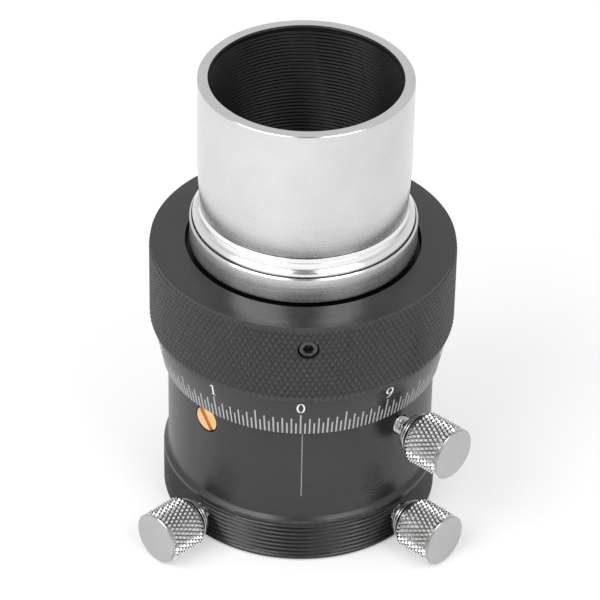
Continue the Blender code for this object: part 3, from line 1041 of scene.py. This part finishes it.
def build_drawtube():
    """Keyed tube with the coarse multi-start helicoid cut in its upper part."""
    low, high = SLIDE_Z
    neck_z, top = COLLAR_Z
    rim_r = COLLAR_R - COLLAR_CHAMFER
    seam_z = top - 0.25
    upper = rounded([
        (TUBE_SPIGOT_R + HIDDEN_GAP, top, 0.08),
        (ADAPTER_R, top, 0.0),
        (ADAPTER_R, seam_z, 0.0),
        (rim_r - 0.03, seam_z, 0.0),
        (rim_r - 0.03, top, 0.0),
        (rim_r, top, 0.05),
        (COLLAR_R, top - COLLAR_CHAMFER, 0.08),
        (COLLAR_R, COLLAR_FOOT_Z, 0.0),
        (UNDERCUT_R, COLLAR_FOOT_Z - 0.05, 0.0),
        (UNDERCUT_R, neck_z - 0.4, 0.0),
        (HELICOID_R, neck_z - 0.4, 0.0),
        (HELICOID_R, low, 0.0),
    ])[:-1]
    # Rows that take the bore's black: the thin seam round the adapter, then the collar's underside, the
    # undercut and the step below it. On those last three the black is painted shade, for the deep dark
    # gap inside the focus ring's mouth.
    black_seam_and_painted_shade = [row.r in (ADAPTER_R, UNDERCUT_R) or row.z == COLLAR_FOOT_Z for row in upper]
    upper = [row._replace(paint=int(is_painted_black)) for row, is_painted_black in zip(upper, black_seam_and_painted_shade)]
    lower = rounded([
        (HELICOID_R, neck_z, 0.0),
        (HELICOID_R, high + 0.4, 0.0),
        (SLIDE_R, high - 0.4, 0.15),
        (SLIDE_R, low, 0.3),
        (EYEPIECE_ROOM_R, low, 0.3),
        (EYEPIECE_ROOM_R, EYEPIECE_STOP_Z, 0.0),
        (TUBE_BORE_R + 0.8, EYEPIECE_STOP_Z, 0.1),
        (TUBE_BORE_R + 0.8, TUBE_SPIGOT_Z - HIDDEN_GAP, 0.0),
        (TUBE_SPIGOT_R + HIDDEN_GAP, TUBE_SPIGOT_Z - HIDDEN_GAP, 0.0),
    ])[1:]
    pitch = TRAVEL / HELICOID_STARTS
    helix = threaded(HELICOID_R, neck_z - 0.5, high + 0.5, pitch, 0.32, paint=2, samples=8)
    thread = Thread(pitch, HELICOID_STARTS, -1)
    mesh = turned("drawtube", upper + helix + lower, thread=thread)
    half = GUIDE_TIP_R + HIDDEN_GAP
    keyway = box_tool((-half - TRAVEL - 0.5, -half, 17.3), (half, half, 20.0),
                      radial_frame(GUIDE_AZIMUTH, GUIDE_Z))
    looks = [BRUSHED, BORE_AND_SHADE_BLACK, BLACK_THREAD]
    mesh = cut(mesh, [keyway], looks)
    piece("drawtube_turned", mesh, "drawtube_body", looks,
          replaces=["drawtube"])


def build_nosepiece():
    """Polished tube, black inside, with the filter thread running down its bore."""
    outer = rounded([
        (TUBE_BORE_R + 0.28, TUBE_TOP, 0.06),
        (TUBE_R - 0.13, TUBE_TOP, 0.05),
        (TUBE_R, TUBE_TOP - 0.15, 0.05),
        (TUBE_R, TAPER_Z, 0.15),
        (TUBE_BASE_R, TUBE_BASE_Z, 0.06),
        (TUBE_SPIGOT_R, TUBE_BASE_Z - 0.05, 0.0),
        (TUBE_SPIGOT_R, TUBE_SPIGOT_Z, 0.2),
        (TUBE_BORE_R, TUBE_SPIGOT_Z, 0.1),
        (TUBE_BORE_R, TUBE_TOP, 0.0),
    ])[:-1]
    bore = threaded(TUBE_BORE_R, FILTER_THREAD_FOOT, TUBE_TOP - 0.4, FILTER_PITCH, -0.26,
                    paint=1, samples=8)
    mouth = [Row(TUBE_BORE_R, TUBE_TOP - 0.28, paint=1)]
    outer[-1] = outer[-1]._replace(paint=1)
    mesh = turned("nosepiece", outer + bore + mouth, thread=Thread(FILTER_PITCH))
    piece("nosepiece_tube", mesh, "drawtube_body", [POLISHED, BORE_AND_SHADE_BLACK],
          replaces=["nosepiece_barrel"])


def build_adapter():
    """Stepped ring round the foot of the nosepiece."""
    low, high = ADAPTER_Z
    shoulder_r, shoulder_z = ADAPTER_SHOULDER
    bore = TUBE_SPIGOT_R + 0.01
    rows = rounded([
        (bore, high + 0.15, 0.0),
        (ADAPTER_HUB_R - 0.2, high + 0.15, 0.05),
        (ADAPTER_HUB_R - 0.1, high - 0.5, 0.03),
        (ADAPTER_HUB_R, high - 0.55, 0.03),
        (ADAPTER_HUB_R, shoulder_z, 0.12),
        (shoulder_r, shoulder_z, 0.06),
        (ADAPTER_R, low + 0.35, 0.06),
        (ADAPTER_R, low, 0.0),
        (bore, low, 0.0),
    ], steps=4)
    piece("adapter_ring_turned", turned("adapter_ring", rows), "drawtube_body",
          [TURNED], replaces=["adapter_ring"])


# ---------------------------------------------------------------- thumbscrews

def build_thumbscrew(name, node, body, place, pad_end):
    """Knurled head, two thin collars behind it and a threaded shank down to the pad's end."""
    azimuth, height, face = place
    back = face - HEAD_LENGTH
    low_r = HEAD_R - HEAD_KNURL_DEPTH
    knurl_end = face - HEAD_KNURL_LENGTH
    head = [Row(0.0, face, paint=1)] + rounded([
        (0.0, face, 0.0),
        (HEAD_R - 0.24, face, 0.04),
        (HEAD_R - 0.02, face - 0.2, 0.05),
        (HEAD_R - 0.06, face - 0.28, 0.0),
        (low_r, face - 0.42, 0.0),
        (low_r, knurl_end + 0.1, 0.0),
        (HEAD_R - 0.9, knurl_end - 0.28, 0.0),
        (HEAD_R - 1.25, knurl_end - 0.34, 0.0),
        (HEAD_R - 1.25, knurl_end - 0.5, 0.0),
        (HEAD_R - 0.85, knurl_end - 0.56, 0.06),
        (HEAD_R - 0.85, knurl_end - 0.86, 0.06),
        (HEAD_R - 1.6, knurl_end - 0.92, 0.0),
        (HEAD_R - 1.6, knurl_end - 1.2, 0.0),
        (HEAD_R - 1.35, knurl_end - 1.25, 0.05),
        (HEAD_R - 1.35, back + 0.1, 0.08),
        (HEAD_R - 1.7, back, 0.0),
        (SHANK_R, back, 0.05),
        (SHANK_R, 0.0, 0.0),
    ], steps=2)[1:-1]
    first_low = next(i for i, row in enumerate(head) if row.r == low_r)
    head = [row._replace(paint=1) if row.z > face - 0.01 else row for row in head]
    shank = threaded(SHANK_R, back - 0.1, pad_end + 0.5, SHANK_PITCH, 0.2, paint=2, samples=8)
    tip = [Row(SHANK_R - 0.25, pad_end + 0.15, paint=2), Row(0.0, pad_end + 0.15, paint=2)]
    band = Band(first_low, HEAD_R, HEAD_KNURL_DEPTH, HEAD_ROWS, flat=0.14, paint=0)
    mesh = turned(name, head + shank + tip, 2 * HEAD_GROOVES, thread=Thread(SHANK_PITCH),
                  band=band, closed=False)
    piece(name, mesh, body, [KNURL_NICKEL, FACE_NICKEL, SHANK_NICKEL],
          matrix=radial_frame(azimuth, height), replaces=[node], smooth=24.0)


# ---------------------------------------------------------------- kept CAD nodes

def finish_kept_nodes():
    """Better materials for the small inner pieces whose CAD shape is right."""
    looks = {
        "thrust_washer": PTFE,
        "retaining_ring": BLACK,
        "focus_lock_pad": BRASS,
        "clamp_pad_left": BRASS,
        "clamp_pad_right": BRASS,
    }
    for node, material in looks.items():
        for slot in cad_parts[node].material_slots:
            slot.material = material


# ---------------------------------------------------------------- stage, light and camera

def build_floor():
    """Matt floor that gives off a little light, so that it stays white round the object."""
    mesh = bpy.data.meshes.new("floor")
    bm = bmesh.new()
    bmesh.ops.create_grid(bm, x_segments=1, y_segments=1, size=FLOOR_HALF_WIDTH_M)
    bm.to_mesh(mesh)
    bm.free()
    floor = bpy.data.objects.new("floor", mesh)
    bpy.context.scene.collection.objects.link(floor)
    material = bpy.data.materials.new("floor")
    material.use_nodes = True
    shader = material.node_tree.nodes["Principled BSDF"]
    shader.inputs["Base Color"].default_value = (0.60, 0.60, 0.60, 1.0)
    shader.inputs["Roughness"].default_value = 0.9
    shader.inputs["Specular IOR Level"].default_value = 0.0
    shader.inputs["Emission Color"].default_value = (1.0, 1.0, 1.0, 1.0)
    split = material.node_tree.nodes.new("ShaderNodeSeparateXYZ")
    glow = material.node_tree.nodes.new("ShaderNodeMapRange")
    coordinates = material.node_tree.nodes.new("ShaderNodeTexCoord")
    material.node_tree.links.new(coordinates.outputs["Object"], split.inputs[0])
    material.node_tree.links.new(split.outputs["X"], glow.inputs["Value"])
    set_map_range(glow, -FLOOR_GLOW_REACH_M, FLOOR_GLOW_REACH_M, *FLOOR_GLOW)
    material.node_tree.links.new(glow.outputs["Result"], shader.inputs["Emission Strength"])
    mesh.materials.append(material)


def build_world():
    """A white studio with a dim patch high in front."""
    world = bpy.data.worlds.new("studio")
    world.use_nodes = True
    tree = world.node_tree
    background = tree.nodes["Background"]
    background.inputs["Color"].default_value = (1.0, 1.0, 1.0, 1.0)
    towards = tree.nodes.new("ShaderNodeVectorMath")
    towards.operation = "DOT_PRODUCT"
    tree.links.new(tree.nodes.new("ShaderNodeTexCoord").outputs["Generated"], towards.inputs[0])
    towards.inputs[1].default_value = direction(0.0, DIM_PATCH_ELEVATION)
    patch = tree.nodes.new("ShaderNodeMapRange")
    tree.links.new(towards.outputs["Value"], patch.inputs["Value"])
    inner, outer = (cos(radians(angle)) for angle in DIM_PATCH_RADII)
    set_map_range(patch, outer, inner, *SKY)
    tree.links.new(patch.outputs["Result"], background.inputs["Strength"])
    bpy.context.scene.world = world


def direction(azimuth, elevation):
    """A unit vector from the object, for an azimuth from the index line and an elevation."""
    level = cos(radians(elevation))
    turn = radians(azimuth)
    return Vector((sin(turn) * level, -cos(turn) * level, sin(radians(elevation))))


def soft_box(name, azimuth, elevation, distance_m, size_m, power):
    """A rectangular area light aimed at the middle of the object."""
    middle = (CAD_BOX[0] + CAD_BOX[1]) / 2
    light = bpy.data.lights.new(name, "AREA")
    light.shape = "RECTANGLE"
    light.size, light.size_y = size_m
    light.energy = power
    obj = bpy.data.objects.new(name, light)
    bpy.context.scene.collection.objects.link(obj)
    towards = direction(azimuth, elevation)
    obj.location = middle + towards * distance_m
    obj.rotation_euler = towards.to_track_quat("Z", "Y").to_euler()


def build_camera():
    """A long lens that looks down on the object from just left of the index line."""
    data = bpy.data.cameras.new("camera")
    data.lens = CAMERA_LENS
    data.sensor_width = 36.0
    data.clip_end = 20.0
    camera = bpy.data.objects.new("camera", data)
    bpy.context.scene.collection.objects.link(camera)
    swing = Matrix.Rotation(radians(CAMERA_SWING), 4, "Z")
    camera.location = swing @ Vector(CAMERA_PLACE_M)
    pan = Matrix.Rotation(radians(CAMERA_PAN), 4, "Z")
    tilt = Matrix.Rotation(radians(CAMERA_TILT), 4, "X")
    roll = Matrix.Rotation(radians(CAMERA_ROLL), 4, "Z")
    camera.rotation_euler = (pan @ tilt @ roll).to_euler()
    bpy.context.scene.camera = camera


build_housing()
build_guide_screw()
build_compression_ring()
build_index_line()
build_grip()
build_grub_screws()
build_scale_sleeve()
build_nut()
build_marks()
build_numbers()
build_drawtube()
build_nosepiece()
build_adapter()
build_thumbscrew("lock_thumbscrew", "focus_lock_thumbscrew", "focus_lock_screw", LOCK_SCREW,
                 LOCK_PAD_END)
for side, place in EYEPIECE_SCREWS.items():
    build_thumbscrew(f"eyepiece_screw_{side}", f"eyepiece_thumbscrew_{side}",
                     f"clamp_screw_{side}", place, EYEPIECE_PAD_END)
finish_kept_nodes()

build_floor()
build_world()
for name, settings in SOFT_BOXES.items():
    soft_box(name, *settings)
build_camera()
bpy.context.scene.view_settings.view_transform = "Standard"
